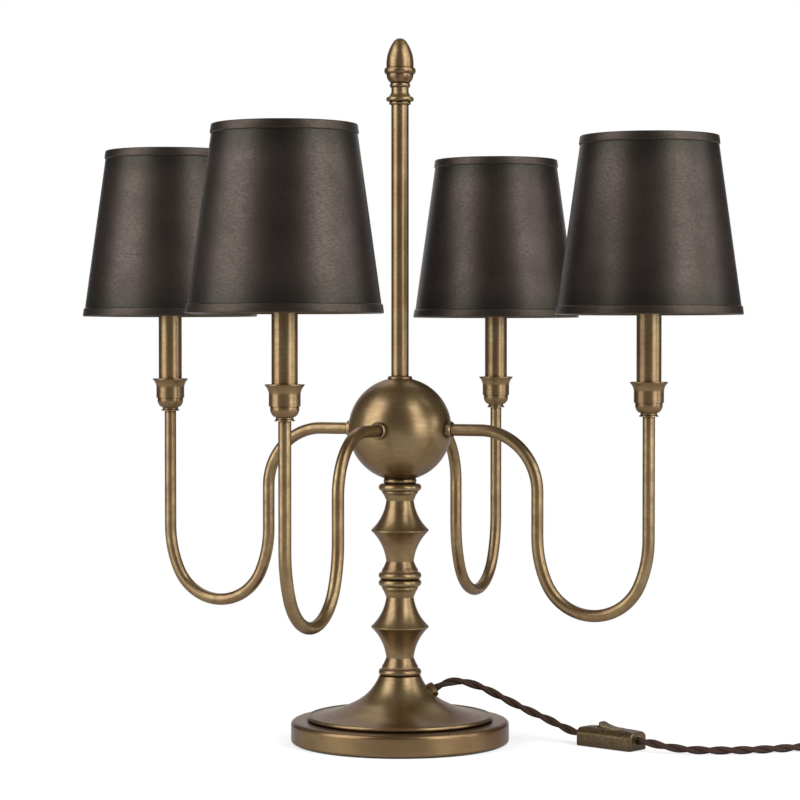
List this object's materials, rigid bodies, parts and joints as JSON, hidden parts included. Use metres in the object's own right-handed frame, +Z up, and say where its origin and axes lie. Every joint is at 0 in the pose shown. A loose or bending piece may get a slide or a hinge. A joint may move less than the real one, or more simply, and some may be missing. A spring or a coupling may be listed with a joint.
{
  "type": "table lamp",
  "caption": "Candelabra table lamp in aged brass: swan arms from a ball hub carry candle lights with dark empire shades, over a turned column, with an inline rocker switch.",
  "frame": {"origin": "middle of the base's underside, on the table", "axes": "+Z up along the column; the four arms point along +X, +Y, -X and -Y; the front is -Y"},
  "size_m": [0.7629, 0.6503, 0.6476],
  "materials": {
    "aged_brass": "aged and brushed, lacquered",
    "shade_skin": "dark bronze satin foil on card",
    "frame_wire": "brass-plated wire",
    "iron": "rough cast",
    "zinc_steel": "zinc plated",
    "felt": "dark green felt",
    "socket": "moulded phenolic",
    "bright_cap": "thin rolled cap",
    "bulb_glass": "clear",
    "cord_fabric": "brown braided, two strands twisted",
    "wire": "insulated wire",
    "plug": "brown moulded",
    "blade": "bright"
  },
  "bodies": {
    "lamp": {"base_shell": "aged_brass", "base_weight": "iron", "base_felt": "felt", "base_washer": "zinc_steel", "base_nut": "zinc_steel", "lamp_pipe": "zinc_steel", "lower_knop": "aged_brass", "lower_baluster": "aged_brass", "middle_knop": "aged_brass", "upper_baluster": "aged_brass", "neck_ring": "aged_brass", "ball_hub": "aged_brass", "rod_collar": "aged_brass", "centre_rod": "aged_brass", "rod_cap": "aged_brass", "finial": "aged_brass", "wire_connector": "socket", "supply_lead": "wire", "arm_ferrules": "aged_brass", "arm_nuts": "zinc_steel", "arm_wires": "wire", "cup_rings": "aged_brass", "candle_cups": "aged_brass", "candle_sleeves": "aged_brass", "lampholders": "socket", "bulb_caps": "bright_cap", "bulbs": "bulb_glass", "cord_bush": "aged_brass", "cord_to_switch": "cord_fabric", "cord_to_coil": "cord_fabric", "cord_coil": "cord_fabric", "coil_tie": "cord_fabric", "plug_body": "plug", "plug_blades": "blade", "switch_base": "aged_brass", "switch_cover": "aged_brass", "rocker_pin": "zinc_steel", "switch_contacts": "blade", "switch_screws": "zinc_steel", "arm_right": "aged_brass", "arm_back": "aged_brass", "arm_left": "aged_brass", "arm_front": "aged_brass"},
    "rocker": {"switch_rocker": "aged_brass"},
    "carrier_right": {"shade_carrier_right": "frame_wire"},
    "shade_right": {"shade_right": "shade_skin", "shade_frame_right": "frame_wire", "shade_trim_right": "shade_skin"},
    "carrier_back": {"shade_carrier_back": "frame_wire"},
    "shade_back": {"shade_back": "shade_skin", "shade_frame_back": "frame_wire", "shade_trim_back": "shade_skin"},
    "carrier_left": {"shade_carrier_left": "frame_wire"},
    "shade_left": {"shade_left": "shade_skin", "shade_frame_left": "frame_wire", "shade_trim_left": "shade_skin"},
    "carrier_front": {"shade_carrier_front": "frame_wire"},
    "shade_front": {"shade_front": "shade_skin", "shade_frame_front": "frame_wire", "shade_trim_front": "shade_skin"}
  },
  "joints": [
    {"name": "shade_turn_right", "type": "hinge", "parent": "lamp", "child": "carrier_right", "pos_m": [0.24, 0, 0.425], "axis": [0, 0, 1], "continuous": true},
    {"name": "shade_lift_right", "type": "slide", "parent": "carrier_right", "child": "shade_right", "axis": [0, 0, 1], "range_m": [0, 0.15]},
    {"name": "shade_turn_back", "type": "hinge", "parent": "lamp", "child": "carrier_back", "pos_m": [0, 0.24, 0.425], "axis": [0, 0, 1], "continuous": true},
    {"name": "shade_lift_back", "type": "slide", "parent": "carrier_back", "child": "shade_back", "axis": [0, 0, 1], "range_m": [0, 0.15]},
    {"name": "shade_turn_left", "type": "hinge", "parent": "lamp", "child": "carrier_left", "pos_m": [-0.24, 0, 0.425], "axis": [0, 0, 1], "continuous": true},
    {"name": "shade_lift_left", "type": "slide", "parent": "carrier_left", "child": "shade_left", "axis": [0, 0, 1], "range_m": [0, 0.15]},
    {"name": "shade_turn_front", "type": "hinge", "parent": "lamp", "child": "carrier_front", "pos_m": [0, -0.24, 0.425], "axis": [0, 0, 1], "continuous": true},
    {"name": "shade_lift_front", "type": "slide", "parent": "carrier_front", "child": "shade_front", "axis": [0, 0, 1], "range_m": [0, 0.15]},
    {"name": "rocker_tilt", "type": "hinge", "parent": "lamp", "child": "rocker", "pos_m": [0.18857, 0.04881, 0.014], "axis": [-0.3145, -0.9493, 0], "range_deg": [0, 20]}
  ]
}
